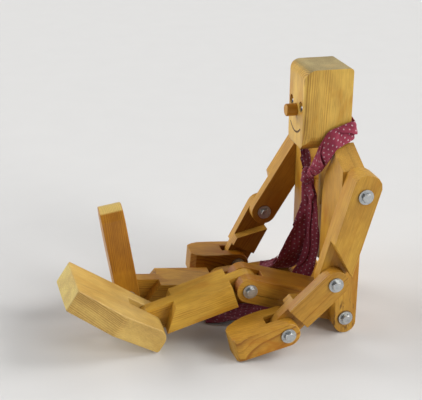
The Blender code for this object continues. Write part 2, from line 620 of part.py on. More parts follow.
ribbon("scarf_tail_long", [
    ((-0.0040, -0.0230, 0.1670), (0.0080, -0.0150, 0.1670)),
    ((-0.0050, -0.0205, 0.1400), (0.0130, -0.0090, 0.1400)),
    ((-0.0050, -0.0195, 0.1100), (0.0140, -0.0060, 0.1100)),
    ((-0.0050, -0.0190, 0.0850), (0.0140, -0.0050, 0.0850)),
    ((-0.0070, -0.0220, 0.0620), (0.0120, -0.0080, 0.0640)),
    ((-0.0100, -0.0290, 0.0460), (0.0100, -0.0110, 0.0460)),
    ((-0.0110, -0.0420, 0.0220), (0.0100, -0.0260, 0.0220)),
    ((-0.0110, -0.0620, 0.0065), (0.0100, -0.0480, 0.0060)),
    ((-0.0120, -0.0840, 0.0022), (0.0200, -0.0760, 0.0022)),
    ((-0.0120, -0.1120, 0.0018), (0.0320, -0.1020, 0.0018)),
    ((-0.0100, -0.1380, 0.0018), (0.0330, -0.1320, 0.0018)),
    ((-0.0060, -0.1580, 0.0018), (0.0260, -0.1540, 0.0018)),
], 40, CLOTH)
ribbon("scarf_tail_short", [
    ((-0.0055, -0.0250, 0.1640), (-0.0065, -0.0290, 0.1640)),
    ((-0.0065, -0.0240, 0.1380), (-0.0065, -0.0300, 0.1380)),
    ((-0.0080, -0.0250, 0.1120), (-0.0050, -0.0360, 0.1120)),
    ((-0.0100, -0.0240, 0.0880), (-0.0070, -0.0440, 0.0880)),
    ((-0.0120, -0.0240, 0.0670), (-0.0100, -0.0520, 0.0660)),
    ((-0.0160, -0.0270, 0.0520), (-0.0150, -0.0600, 0.0500)),
    ((-0.0250, -0.0290, 0.0420), (-0.0260, -0.0660, 0.0415)),
    ((-0.0400, -0.0290, 0.0395), (-0.0420, -0.0670, 0.0385)),
    ((-0.0560, -0.0300, 0.0390), (-0.0540, -0.0620, 0.0380)),
], 24, CLOTH)

for ob in tools.objects:
    ob.hide_render = True
    ob.display_type = "WIRE"
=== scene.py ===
"""Looks of the artist mannequin: wood, zinc-plated fasteners, painted eyes and a dotted cotton scarf.

The figure faces -Y and its left side is +X. Lengths are in metres unless a name says otherwise.
"""
import math
import json
import bpy
import numpy as np
from mathutils import Euler, Matrix, Vector


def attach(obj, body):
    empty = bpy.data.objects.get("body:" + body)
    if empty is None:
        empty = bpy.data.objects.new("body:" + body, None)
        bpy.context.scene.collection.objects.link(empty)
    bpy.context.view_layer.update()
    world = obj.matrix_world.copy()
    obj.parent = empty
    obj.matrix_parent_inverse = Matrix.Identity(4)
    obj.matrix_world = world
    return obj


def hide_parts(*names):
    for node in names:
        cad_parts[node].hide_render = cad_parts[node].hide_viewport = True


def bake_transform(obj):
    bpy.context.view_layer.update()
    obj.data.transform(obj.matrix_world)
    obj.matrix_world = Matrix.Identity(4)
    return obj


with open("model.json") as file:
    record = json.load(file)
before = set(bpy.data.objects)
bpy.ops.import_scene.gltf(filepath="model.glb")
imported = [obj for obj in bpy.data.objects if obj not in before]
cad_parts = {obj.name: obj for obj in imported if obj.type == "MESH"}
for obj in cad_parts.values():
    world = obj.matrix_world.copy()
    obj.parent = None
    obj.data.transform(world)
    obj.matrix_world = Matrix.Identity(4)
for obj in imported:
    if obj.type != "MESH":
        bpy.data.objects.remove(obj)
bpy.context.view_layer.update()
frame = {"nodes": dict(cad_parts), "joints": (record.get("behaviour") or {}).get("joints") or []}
NODES = frame["nodes"]
JOINTS = {j["name"]: Vector(j["pos_m"]) for j in frame["joints"]}
NECK_Y = 0.0065                                 # how far the neck lies behind the figure's own zero
ZERO_Y = JOINTS["neck_turn"].y - NECK_Y         # where that zero is in the frame

# ------------------------------------------------------------------ camera and lights
scene = bpy.context.scene
scene.view_settings.view_transform = "Standard"
scene.view_settings.look = "None"
scene.view_settings.exposure = 0.0

camera = bpy.data.objects.new("camera", bpy.data.cameras.new("camera"))
scene.collection.objects.link(camera)
camera.data.sensor_width = 36.0
camera.data.lens = 78.3
camera.location = (1.0090, -0.2283, 0.5825)
azimuth, pitch = math.radians(76.76), math.radians(22.32)
looking = Vector((-math.sin(azimuth) * math.cos(pitch), math.cos(azimuth) * math.cos(pitch),
                  -math.sin(pitch)))
camera.rotation_euler = looking.to_track_quat("-Z", "Y").to_euler()
camera.data.clip_start, camera.data.clip_end = 0.01, 50
scene.camera = camera

SUNS = {  # the direction from the figure to a large soft source, its strength, width in degrees and colour
    "front_low": ((0.0, -1.0, 0.35), 0.85, 34, (1.0, 0.99, 0.97)),
    "front_high": ((0.0, -1.0, 1.2), 0.22, 34, (1, 1, 1)),
    "window": ((-0.9, -1.0, 0.7), 1.63, 32, (1.0, 0.99, 0.97)),
    "far_side": ((-1.0, 0.5, 1.0), 0.34, 40, (1, 1, 1)),
    "near_back": ((1.0, 1.0, 0.5), 1.68, 30, (1.0, 0.985, 0.96)),
    "near_top": ((1.0, 1.0, 1.5), 0.36, 40, (1, 1, 1)),
    "back_top": ((0.0, 1.0, 0.8), 2.04, 34, (1.0, 0.99, 0.975)),
}
for sun_name, (towards, strength, width, tint) in SUNS.items():
    data = bpy.data.lights.new(sun_name, "SUN")
    data.energy = strength
    data.angle = math.radians(width)
    data.color = tint
    lamp = bpy.data.objects.new(sun_name, data)
    scene.collection.objects.link(lamp)
    lamp.rotation_euler = Vector(towards).to_track_quat("Z", "Y").to_euler()
    lamp.location = Vector(towards)

world = bpy.data.worlds.new("studio")
world.use_nodes = True
sky = world.node_tree.nodes["Background"]
sky.inputs["Color"].default_value = (0.92, 0.93, 0.96, 1)
sky.inputs["Strength"].default_value = 0.10
scene.world = world


# ------------------------------------------------------------------ shader helpers
class Tree:
    """Short calls that add nodes to one material and link them. Values may be numbers, colours or
    the sockets of other nodes."""

    def __init__(self, name):
        self.mat = bpy.data.materials.new(name)
        self.mat.use_nodes = True
        self.nodes = self.mat.node_tree.nodes
        self.links = self.mat.node_tree.links
        self.shader = self.nodes["Principled BSDF"]
        self.coords = self.nodes.new("ShaderNodeTexCoord")

    def add(self, kind, inputs=(), **settings):
        node = self.nodes.new(kind)
        for key, value in settings.items():
            setattr(node, key, value)
        for key, value in dict(inputs).items():
            self.feed(node.inputs[key], value)
        return node

    def feed(self, socket, value):
        if isinstance(value, bpy.types.NodeSocket):
            self.links.new(value, socket)
        elif isinstance(value, tuple) and len(value) == 3 and socket.type == "RGBA":
            socket.default_value = (*value, 1)
        else:
            socket.default_value = value

    def math(self, how, a, b=0.0, c=0.0, clamp=False):
        return self.add("ShaderNodeMath", {0: a, 1: b, 2: c}, operation=how, use_clamp=clamp).outputs[0]

    def vmath(self, how, a, b=(0, 0, 0)):
        node = self.add("ShaderNodeVectorMath", {0: a, 1: b}, operation=how)
        return node.outputs["Value"] if how in ("DOT_PRODUCT", "LENGTH", "DISTANCE") else node.outputs[0]

    def noise(self, vector, scale, detail=2.0, rough=0.5, distortion=0.0):
        return self.add("ShaderNodeTexNoise", {"Vector": vector, "Scale": scale, "Detail": detail,
                                               "Roughness": rough, "Distortion": distortion})

    def ramp(self, fac, stops):
        node = self.add("ShaderNodeValToRGB", {"Fac": fac})
        band = node.color_ramp
        while len(band.elements) < len(stops):
            band.elements.new(0.5)
        for el, (pos, value) in zip(band.elements, stops):
            el.position = pos
            el.color = (*value, 1) if isinstance(value, tuple) else (value, value, value, 1)
        return node.outputs["Color"]

    def mix(self, fac, a, b, how="MIX"):
        node = self.nodes.new("ShaderNodeMix")
        node.data_type = "RGBA"
        node.blend_type = how
        self.feed(node.inputs[0], fac)
        self.feed(node.inputs[6], a)
        self.feed(node.inputs[7], b)
        return node.outputs[2]

    def overlay(self, fac, color, value, *stops):
        """Lightens and darkens a colour by a ramp, where a mid grey leaves it as it is."""
        return self.mix(fac, color, self.ramp(value, stops), "OVERLAY")

    def spread(self, vector, scale, shift):
        """A point for a noise: scaled per axis, then moved."""
        return self.vmath("ADD", self.vmath("MULTIPLY", vector, scale), shift)

    def smooth(self, value, low, high):
        """From 0 at `low` to 1 at `high`, with soft ends."""
        node = self.add("ShaderNodeMapRange", {0: value, 1: low, 2: high, 3: 0.0, 4: 1.0},
                        interpolation_type="SMOOTHSTEP")
        return node.outputs[0]

    def mapped(self, vector, move=(0, 0, 0), turn=(0, 0, 0), scale=(1, 1, 1)):
        return self.add("ShaderNodeMapping", {"Vector": vector, "Location": move, "Rotation": turn,
                                              "Scale": scale}).outputs[0]

    def split(self, vector):
        return self.add("ShaderNodeSeparateXYZ", {0: vector}).outputs

    def join(self, x, y, z):
        return self.add("ShaderNodeCombineXYZ", {0: x, 1: y, 2: z}).outputs[0]

    def bump(self, height, strength, distance, normal=None):
        node = self.add("ShaderNodeBump", {"Height": height, "Strength": strength,
                                           "Distance": distance})
        if normal is not None:
            self.links.new(normal, node.inputs["Normal"])
        return node.outputs[0]


# ------------------------------------------------------------------ wood
EARLY = (0.560, 0.350, 0.090)                   # pale spring wood
LATE = (0.300, 0.125, 0.016)                    # brown autumn line of each ring
END = (0.450, 0.290, 0.085)                     # sawn end grain
HONEY = (0.430, 0.185, 0.012)                   # patches where the varnish has darkened
PORE = (0.200, 0.090, 0.020)
WORN_AND_HIGHLIGHT = (0.660, 0.460, 0.180)                    # rubbed edges, partly a painted highlight
RUST = (0.160, 0.060, 0.010)                    # around the washers
STREAK = (0.100, 0.035, 0.006)                  # dark streaks beside the hips
GROOVE = (0.130, 0.050, 0.008)                  # stain in the carved smile
UNDER_JAW_SHADE = (0.62, 0.42, 0.16)                  # painted shade on the faces under the jaw
EDGE_ROUND_RADIUS = 0.0011                            # how far the rounded edge, its wear and its painted highlight reach
WASHER_R = 0.0092
RUST_WIDTH = 0.0035
SWAY = 0.006                                    # how far the rings wander, before `wave`


def grain_space(t, along, origin, pith, tilt):
    """The point in the tree's own frame: z along the grain, the pith on the z axis."""
    x = Vector((1, 0, 0)) if abs(along.x) < 0.9 else Vector((0, 1, 0))
    x = (x - along * x.dot(along)).normalized()
    y = along.cross(x)
    turn = (Euler((tilt[0], tilt[1], 0)).to_matrix() @ Matrix((x, y, along))).to_euler()
    shift = -(turn.to_matrix() @ Vector(origin)) - Vector((pith[0], pith[1], 0))
    return t.mapped(t.coords.outputs["Object"], shift, tuple(turn))


def ring_lines(t, p, ring, seed, wave, strong):
    """The brown line of each ring, from 0 to 1, and the distance along the grain. Only rings above
    `strong` on a slow noise are drawn clearly."""
    sway = t.noise(t.spread(p, (22, 22, 9), (seed, seed * 2, seed * 3)), 1.0, 2.0)
    sway = t.vmath("SCALE", t.vmath("SUBTRACT", sway.outputs["Color"], (0.5, 0.5, 0.5)))
    sway.node.inputs["Scale"].default_value = SWAY * wave
    x, y, z = t.split(t.vmath("ADD", p, sway))
    radius = t.vmath("LENGTH", t.join(x, y, 0.0))
    uneven = t.add("ShaderNodeTexNoise", {"W": t.math("MULTIPLY", radius, 90.0), "Scale": 1.0},
                   noise_dimensions="1D").outputs[0]
    count = t.math("ADD", t.math("DIVIDE", radius, ring), t.math("MULTIPLY", uneven, 1.6))
    phase = t.math("FRACT", t.math("ADD", count, seed))
    late = t.ramp(phase, [(0.0, 0.10), (0.35, 0.05), (0.72, 0.42), (0.88, 1.0), (0.97, 0.75), (1.0, 0.10)])
    weight = t.noise(t.join(t.math("MULTIPLY", radius, 140.0), t.math("MULTIPLY", z, 3.0), seed), 1.0)
    weight = t.math("MULTIPLY_ADD", t.smooth(weight.outputs[0], strong, strong + 0.22), 0.85, 0.15)
    return t.math("MULTIPLY", late, weight, clamp=True), z


def wood(name, along, origin, pith, tilt=(0.0, 0.0), ring=0.0026, seed=0.0, tone=(1.0, 1.0, 1.0),
         contrast=0.55, wave=0.5, extra=None, stain=0.30, strong=0.45, sawn=END, inner_shade=None):
    """Varnished pine. `along` is the grain's direction and `origin` a point on it; the pith of the
    tree runs beside it at `pith`, tilted by `tilt`, so that the sawn faces show straight lines,
    arches or rings as the real boards do. `tone` tints the whole piece, the inner colour paints shade on
    the faces that look to +X, `sawn` tints the end grain, and `extra` adds the piece's own stains, and for
    the head painted shade under the jaw."""
    t = Tree("wood_" + name)
    along = Vector(along).normalized()
    normal = t.coords.outputs["Normal"]
    p = grain_space(t, along, origin, pith, tilt)
    late, distance = ring_lines(t, p, ring, seed, wave, strong)
    # fibres, seen as fine dashes along the grain, and dark pores between them
    fibre = t.noise(t.spread(p, (1500, 1500, 60), (seed, 0, 0)), 1.0, 3.0, 0.6).outputs[0]
    pores = t.ramp(t.noise(t.vmath("MULTIPLY", p, (900, 900, 34)), 1.0, 2.0, 0.7).outputs[0],
                   [(0.0, 1.0), (0.34, 0.25), (0.42, 0.0), (1.0, 0.0)])
    mottle = t.noise(t.spread(p, (55, 55, 26), (0, seed, 0)), 1.0, 3.0, 0.55).outputs[0]
    patch = t.noise(t.spread(p, (14, 14, 7), (seed, seed, 0)), 1.0, 2.0).outputs[0]
    speck = t.noise(t.vmath("MULTIPLY", p, (1400, 1400, 200)), 1.0, 2.0).outputs[0]
    # end grain, where the surface faces along the grain
    end = t.smooth(t.math("ABSOLUTE", t.vmath("DOT_PRODUCT", normal, tuple(along))), 0.62, 0.95)
    end_color = t.mix(t.math("MULTIPLY", late, 0.62), sawn, tuple(c * 0.58 for c in sawn))
    end_color = t.overlay(0.5, end_color, speck, (0.3, 0.35), (0.7, 0.85))
    if callable(contrast):
        contrast = contrast(t, distance)
    side_color = t.mix(t.math("MULTIPLY", late, contrast), EARLY, LATE)
    color = t.mix(end, side_color, end_color)
    color = t.overlay(0.48, color, mottle, (0.30, (0.30, 0.28, 0.24)), (0.70, (0.66, 0.67, 0.66)))
    color = t.overlay(0.42, color, patch, (0.3, (0.40, 0.385, 0.36)), (0.7, (0.60, 0.60, 0.59)))
    color = t.overlay(0.60, color, fibre, (0.3, 0.36), (0.7, 0.64))
    color = t.mix(t.math("MULTIPLY", pores, 0.42), color, PORE)
    honey = t.noise(t.spread(p, (38, 38, 11), (0, 0, seed)), 1.0, 3.0, 0.6, 0.6).outputs[0]
    honey = t.math("MULTIPLY", t.smooth(honey, 0.50, 0.64), t.math("MULTIPLY_ADD", end, -0.8, 1.0))
    color = t.mix(t.math("MULTIPLY", honey, stain), color, HONEY)
    # lighter edges where a rounded normal leaves the true one: partly rubbed wear, partly a painted
    # highlight
    rounded = t.add("ShaderNodeBevel", {"Radius": EDGE_ROUND_RADIUS}, samples=4).outputs[0]
    true = t.add("ShaderNodeNewGeometry").outputs["Normal"]
    edge_wear_and_highlight = t.smooth(t.math("SUBTRACT", 1.0, t.vmath("DOT_PRODUCT", rounded, true)), 0.004, 0.10)
    edge_wear_and_highlight = t.math("MULTIPLY", edge_wear_and_highlight, t.math("MULTIPLY_ADD", mottle, 0.9, 0.15), clamp=True)
    color = t.mix(t.math("MULTIPLY", edge_wear_and_highlight, 0.55), color, WORN_AND_HIGHLIGHT)
    color = t.mix(1.0, color, tone, "MULTIPLY")
    # painted shade on the faces that look to +X
    if inner_shade is not None:
        inward = t.smooth(t.split(normal)[0], 0.45, 0.85)
        color = t.mix(inward, color, t.mix(1.0, color, inner_shade, "MULTIPLY"))
    if extra is not None:
        color = extra(t, color)
    t.feed(t.shader.inputs["Base Color"], color)
    rough = t.math("MULTIPLY_ADD", fibre, 0.14, 0.34)
    t.feed(t.shader.inputs["Roughness"], t.math("ADD", rough, t.math("MULTIPLY", end, 0.12)))
    t.shader.inputs["Specular IOR Level"].default_value = 0.30
    t.shader.inputs["Coat Weight"].default_value = 0.10
    t.shader.inputs["Coat Roughness"].default_value = 0.28
    height = t.math("ADD", t.math("MULTIPLY", late, 0.5), t.math("MULTIPLY", fibre, 0.6))
    height = t.math("SUBTRACT", height, t.math("MULTIPLY", pores, 0.8))
    t.feed(t.shader.inputs["Normal"], t.bump(height, 0.35, 0.00012, rounded))
    return t.mat


def dress(node, mat):
    """Gives a CAD node its material."""
    ob = NODES[node]
    ob.data.materials.clear()
    ob.data.materials.append(mat)


def direction(degrees_up):
    """A link's direction, forwards and up."""
    a = math.radians(degrees_up)
    return (0, -math.cos(a), math.sin(a))


ANGLES = {  # how far each link points above the level, left then right, in degrees
    "upper_arm": (-74.5, -58.3), "forearm": (-43.1, -62.0), "hand": (-12.6, 5.0),
    "thigh": (19.0, -2.2), "shin": (-16.3, 5.8), "foot": (33.8, 81.8)}
AXIS_OF = {"upper_arm": "shoulder", "forearm": "elbow", "hand": "wrist", "thigh": "hip",
           "shin": "knee", "foot": "ankle"}


def on_sides(side, top, beyond=None):
    """Ring contrast that is strong on the faces across the figure and faint on the others. With
    `beyond`, the rings only show further than that along the piece."""
    def contrast(t, distance):
        across = t.math("ABSOLUTE", t.split(t.coords.outputs["Normal"])[0])
        value = t.math("MULTIPLY_ADD", t.smooth(across, 0.5, 0.9), side - top, top)
        if beyond is not None:
            value = t.math("MULTIPLY", value, t.smooth(distance, beyond - 0.002, beyond + 0.006))
        return value
    return contrast


LOOK = {  # the pith lies across and above the link's own axis
    "upper_arm": dict(pith=(0.030, -0.130), tilt=(0.02, 0.03), ring=0.0030, contrast=0.55, wave=0.9,
                      stain=0.45, strong=0.48),
    "forearm": dict(pith=(0.035, -0.070), tilt=(0.06, 0.05), ring=0.0032, contrast=0.80, wave=1.2,
                    stain=0.60, strong=0.42),
    "hand": dict(pith=(0.040, -0.030), tilt=(0.10, 0.16), ring=0.0034, contrast=on_sides(1.0, 0.35),
                 wave=2.0, stain=0.85, strong=0.18),
    "thigh": dict(pith=(0.020, 0.085), tilt=(0.05, 0.03), ring=0.0034, contrast=0.60, wave=1.0,
                  stain=0.60, strong=0.46),
    "shin": dict(pith=(0.030, -0.090), tilt=(0.04, 0.03), ring=0.0026, contrast=0.80, wave=0.9,
                 stain=0.50, strong=0.40),
    "foot": dict(pith=(0.012, -0.170), tilt=(0.05, 0.01), ring=0.0021,
                 contrast=on_sides(0.85, 0.10, 0.036), wave=0.6, stain=0.20, strong=0.25),
}
TONE_AND_SHADE = {  # each piece's tint, left then right: partly what varnish and age do, partly painted light and shade, darker on most right pieces
    "upper_arm": ((0.95, 0.82, 0.42), (0.96, 0.80, 0.42)),
    "forearm": ((0.88, 0.73, 0.35), (0.92, 0.76, 0.38)),
    "hand": ((0.98, 0.82, 0.36), (0.84, 0.64, 0.24)),
    "thigh": ((0.86, 0.69, 0.32), (0.85, 0.68, 0.34)),
    "shin": ((1.10, 1.00, 0.48), (1.00, 0.86, 0.42)),
    "foot": ((1.06, 1.13, 1.25), (0.78, 0.55, 0.17)),
}
INNER_SHADE = {  # painted shade on the right arm's inner faces
    "upper_arm_right": (0.76, 0.66, 0.50),
    "forearm_right": (0.62, 0.52, 0.44),
    "hand_right": (0.68, 0.60, 0.45),
}
SAWN = {"foot_left": (0.56, 0.385, 0.10), "foot_right": (0.80, 0.80, 0.75),
        "thigh_left": (0.34, 0.15, 0.05), "thigh_right": (0.34, 0.15, 0.05)}


def from_joint(t, joint):
    """The way from a joint to the point, and the distance from the joint's axis."""
    way = t.vmath("SUBTRACT", t.coords.outputs["Object"], tuple(JOINTS[joint]))
    return way, t.vmath("LENGTH", t.vmath("MULTIPLY", way, (0, 1, 1)))


def bolt_rust(t, color, away):
    """A thin brown ring pressed into the wood around a washer."""
    uneven = t.noise(t.coords.outputs["Object"], 340.0, 2.0).outputs[0]
    outer = t.math("MULTIPLY_ADD", uneven, RUST_WIDTH, WASHER_R)
    ring = t.math("SUBTRACT", 1.0, t.smooth(away, WASHER_R, outer))
    return t.mix(t.math("MULTIPLY", ring, 0.65), color, RUST)


def hip_stains(t, color):
    """Dark streaks along the grain and rust around the bolts at the hips."""
    away = t.math("MINIMUM", from_joint(t, "hip_left")[1], from_joint(t, "hip_right")[1])
    p = t.vmath("MULTIPLY", t.coords.outputs["Object"], (260, 260, 60))
    streak = t.smooth(t.noise(p, 1.0, 2.0, 0.6, 0.5).outputs[0], 0.56, 0.66)
    streak = t.math("MULTIPLY", streak, t.math("SUBTRACT", 1.0, t.smooth(away, 0.016, 0.030)))
    return bolt_rust(t, t.mix(t.math("MULTIPLY", streak, 0.75), color, STREAK), away)


def worn_bolt(*joints):
    """Rust on the outer side of each named joint."""
    def extra(t, color):
        for joint in joints:
            way, away = from_joint(t, joint)
            outward = t.math("MULTIPLY", t.split(way)[0], 1 if JOINTS[joint].x > 0 else -1)
            color = bolt_rust(t, color, t.math("ADD", away, t.math("LESS_THAN", outward, 0.0)))
        return color
    return extra


RUSTED = {"upper_arm": ("shoulder", "elbow"), "forearm": ("elbow",), "hand": ("wrist",), "thigh": ("knee",)}
seed = 1.0
for part, angles in ANGLES.items():
    for nm, angle, tone, sx in zip(("left", "right"), angles, TONE_AND_SHADE[part], (1, -1)):
        seed += 3.7
        node = f"{part}_{nm}"
        look = dict(LOOK[part])
        look["pith"] = (look["pith"][0] * sx, look["pith"][1])
        extra = worn_bolt(*(f"{joint}_{nm}" for joint in RUSTED[part])) if part in RUSTED else None
        dress(node, wood(node, direction(angle), JOINTS[f"{AXIS_OF[part]}_{nm}"], seed=seed, tone=tone,
                         extra=extra, sawn=SAWN.get(node, END), inner_shade=INNER_SHADE.get(node), **look))
UP = (0, 0, 1)
MIDDLE = (0, ZERO_Y, 0)
for nm, sx in (("left", 1), ("right", -1)):
    seed += 3.1
    node = "torso_" + nm
    dress(node, wood(node, UP, (0.05 * sx, ZERO_Y, 0), (0.02 * sx, 0.16), (0.01, 0.03), 0.0034, seed,
                     (0.93, 0.79, 0.40), wave=0.8, extra=hip_stains, stain=0.55))
dress("torso_core", wood("torso_core", UP, MIDDLE, (0.07, 0.05), (0.02, 0.02), seed=31.0,
                         tone=(0.7, 0.52, 0.26), contrast=0.5))
dress("neck_dowel", wood("neck_dowel", UP, MIDDLE, (0.05, 0.03), (0.02, 0.02), 0.0020, 37.0,
                         (1.0, 0.95, 0.8), 0.4))

SMILE_X, SMILE_Z, SMILE_R = -0.0005, 0.2625, 0.0250     # the carved arc's centre and radius
SMILE_W, SMILE_TOP, SMILE_DEPTH = 0.0026, 0.2455, 0.0035
FACE = ZERO_Y - 0.0385                                    # the front of the head
NOSE_Z = 0.2648


def smile_stain_and_jaw_shade(t, color):
    """Stain in the carved smile, and painted shade on the faces under the jaw."""
    x, y, z = t.split(t.coords.outputs["Object"])
    dx = t.math("SUBTRACT", x, SMILE_X)
    dz = t.math("SUBTRACT", z, SMILE_Z)
    off = t.math("ABSOLUTE", t.math("SUBTRACT", t.vmath("LENGTH", t.join(dx, 0.0, dz)), SMILE_R))
    line = t.math("SUBTRACT", 1.0, t.smooth(off, SMILE_W * 0.42, SMILE_W * 0.62))
    low = t.math("LESS_THAN", z, SMILE_TOP)
    front = t.math("LESS_THAN", y, FACE + SMILE_DEPTH)
    mask = t.math("MULTIPLY", t.math("MULTIPLY", line, low), front)
    color = t.mix(t.math("MULTIPLY", mask, 0.85), color, GROOVE)
    # painted shade on the faces that look down
    down = t.smooth(t.math("MULTIPLY", t.split(t.coords.outputs["Normal"])[2], -1.0), 0.10, 0.75)
    return t.mix(down, color, t.mix(1.0, color, UNDER_JAW_SHADE, "MULTIPLY"))


def front_rings(t, _):
    """The head's rings are drawn sharply in its front half and fade behind it."""
    y = t.split(t.coords.outputs["Object"])[1]
    return t.math("MULTIPLY_ADD", t.smooth(y, ZERO_Y - 0.002, ZERO_Y - 0.014), 0.85, 0.13)


# the head's tone makes it lighter than the limbs, partly as painted light
dress("head", wood("head", UP, MIDDLE, (0.040, -0.075), (0.03, 0.02), seed=5.3, tone=(1.20, 1.22, 0.96),
                   contrast=front_rings, extra=smile_stain_and_jaw_shade, stain=0.55, strong=0.30,
                   sawn=(0.28, 0.215, 0.125)))
dress("nose", wood("nose", (0, 1, 0), (0, ZERO_Y, NOSE_Z), (0.03, 0.02), ring=0.0016, seed=9.0,
                   tone=(0.80, 0.55, 0.16), contrast=0.4, wave=0.3, sawn=(0.60, 0.42, 0.16)))


# ------------------------------------------------------------------ steel and paint
def steel(name, seed):
    """Zinc plate: blue-grey with a faint yellow cast in places, and fine scratches."""
    t = Tree("zinc_" + name)
    p = t.coords.outputs["Object"]
    cloud = t.noise(t.vmath("ADD", p, (seed, 0, 0)), 260.0, 3.0, 0.6)
    scratch = t.noise(t.vmath("MULTIPLY", p, (700, 2600, 900)), 1.0, 2.0, 0.6)
    color = t.ramp(cloud.outputs[0], [(0.25, (0.34, 0.36, 0.385)), (0.5, (0.49, 0.51, 0.52)),
                                      (0.75, (0.62, 0.62, 0.56))])
    t.feed(t.shader.inputs["Base Color"], color)
    t.shader.inputs["Metallic"].default_value = 0.92
    t.feed(t.shader.inputs["Roughness"], t.math("MULTIPLY_ADD", scratch.outputs[0], 0.26, 0.26))
    t.feed(t.shader.inputs["Normal"], t.bump(scratch.outputs[0], 0.12, 0.00008))
    return t.mat


def paint(name, color, rough):
    """Brushed enamel with faint streaks."""
    t = Tree(name)
    p = t.coords.outputs["Object"]
    brush = t.noise(t.vmath("MULTIPLY", p, (2200, 900, 500)), 1.0, 2.0)
    tone = t.mix(t.math("MULTIPLY", brush.outputs[0], 0.25), color, tuple(c * 0.72 for c in color))
    t.feed(t.shader.inputs["Base Color"], tone)
    t.feed(t.shader.inputs["Roughness"], t.math("MULTIPLY_ADD", brush.outputs[0], 0.15, rough))
    t.feed(t.shader.inputs["Normal"], t.bump(brush.outputs[0], 0.2, 0.0001))
    return t.mat


for k, node in enumerate(sorted(n for n in NODES if n.startswith(("bolt", "washer", "nut")))):
    dress(node, steel(node, 0.1 * k))
for nm in ("left", "right"):
    dress("eye_" + nm, paint("eye_white_" + nm, (0.80, 0.79, 0.76), 0.35))
    dress("pupil_" + nm, paint("pupil_blue_" + nm, (0.015, 0.022, 0.075), 0.25))

# ------------------------------------------------------------------ scarf
CLOTH_WIDTH = 0.056                              # the strip's width before it was knotted
CLOTH_THICK = 0.0007
LAYER_GAP = 0.0019                               # the most that two folded layers lie apart
RIPPLE = 0.00035
FOLD_SOFTNESS = 0.985                            # 1 would crease every fold sharply
DOT_CELL = (0.0104, 0.0070)                      # across and along the strip; a second dot at the middle
DOT_R = 0.00088
DOT_COLOR = (0.52, 0.36, 0.40)
DYE_DARK = (0.200, 0.020, 0.044)
DYE_PALE = (0.280, 0.032, 0.064)
THREAD = (0.33, 0.07, 0.11)                      # where a thread stands up in the weave


def cotton(name, tone, dots=DOT_COLOR, far_shade=None):
    """Burgundy cotton with small pale dots in staggered rows, in the cloth's own flat metres.
    The colour given for the far side darkens the part of the cloth on the figure's right as painted shade."""
    t = Tree(name)
    dark, pale, thread = (tuple(c * tone for c in dye) for dye in (DYE_DARK, DYE_PALE, THREAD))
    uv = t.coords.outputs["UV"]
    gaps = []
    for start in (0.0, 0.5):
        cell = t.mapped(uv, move=(start, start, 0), scale=(1 / DOT_CELL[0], 1 / DOT_CELL[1], 1))
        cell = t.vmath("SUBTRACT", t.vmath("FRACTION", cell), (0.5, 0.5, 0.0))
        cx, cy, _ = t.split(t.vmath("MULTIPLY", cell, (*DOT_CELL, 0.0)))
        gaps.append(t.vmath("LENGTH", t.join(cx, cy, 0.0)))
    away = t.math("DIVIDE", t.math("MINIMUM", *gaps), DOT_R)
    ragged = t.noise(t.vmath("MULTIPLY", uv, (2500, 2500, 1)), 1.0, 1.0)
    away = t.math("ADD", away, t.math("MULTIPLY_ADD", ragged.outputs[0], 0.5, -0.25))
    dot = t.math("SUBTRACT", 1.0, t.smooth(away, 0.70, 1.20))
    warp, weft = (t.add("ShaderNodeTexWave", {"Vector": uv, "Scale": 420.0, "Distortion": 0.4},
                        bands_direction=way).outputs[1] for way in "XY")
    weave = t.math("MULTIPLY", warp, weft)
    fade = t.noise(t.vmath("MULTIPLY", uv, (60, 60, 1)), 1.0, 3.0)
    base = t.ramp(fade.outputs[0], [(0.3, dark), (0.7, pale)])
    base = t.mix(t.math("MULTIPLY", weave, 0.25), base, thread)
    color = t.mix(dot, base, dots)
    # painted shade on the part of the cloth on the figure's right
    if far_shade is not None:
        right = t.smooth(t.split(t.coords.outputs["Object"])[0], 0.014, -0.004)
        color = t.mix(right, color, t.mix(1.0, color, far_shade, "MULTIPLY"))
    t.feed(t.shader.inputs["Base Color"], color)
    t.shader.inputs["Roughness"].default_value = 0.82
    t.shader.inputs["Specular IOR Level"].default_value = 0.25
    t.shader.inputs["Sheen Weight"].default_value = 0.22
    t.shader.inputs["Sheen Roughness"].default_value = 0.45
    t.shader.inputs["Sheen Tint"].default_value = (0.95, 0.55, 0.62, 1)
    height = t.math("ADD", weave, t.math("MULTIPLY", dot, 0.6))
    t.feed(t.shader.inputs["Normal"], t.bump(height, 0.35, 0.00012))
    return t.mat


def spline(points, n):
    """`n` even steps of a smooth curve through rows of numbers, and its length. A row starts with
    two points, and the length is measured along the middle between them."""
    pts = np.array(points, float)
    last = len(pts) - 1
    fine = []
    for f in np.linspace(0, last, last * 24 + 1):
        j = min(int(f), last - 1)
        q = f - j
        p0, p1, p2, p3 = (pts[max(0, min(last, j + d))] for d in (-1, 0, 1, 2))
        fine.append(0.5 * (2 * p1 + (p2 - p0) * q + (2 * p0 - 5 * p1 + 4 * p2 - p3) * q * q
                           + (3 * p1 - p0 - 3 * p2 + p3) * q ** 3))
    fine = np.array(fine)
    middle = (fine[:, 0:3] + fine[:, 3:6]) / 2
    run = np.concatenate([[0], np.cumsum(np.linalg.norm(np.diff(middle, axis=0), axis=1))])
    where = np.linspace(0, run[-1], n + 1)
    return np.array([np.interp(where, run, fine[:, k]) for k in range(fine.shape[1])]).T, run[-1]


def slow_noise(x, seed):
    """A smooth repeatable wobble between -1 and 1."""
    return (math.sin(x + seed * 1.7) + 0.6 * math.sin(x * 2.3 + seed * 3.1)
            + 0.35 * math.sin(x * 4.9 + seed * 5.3)) / 1.95


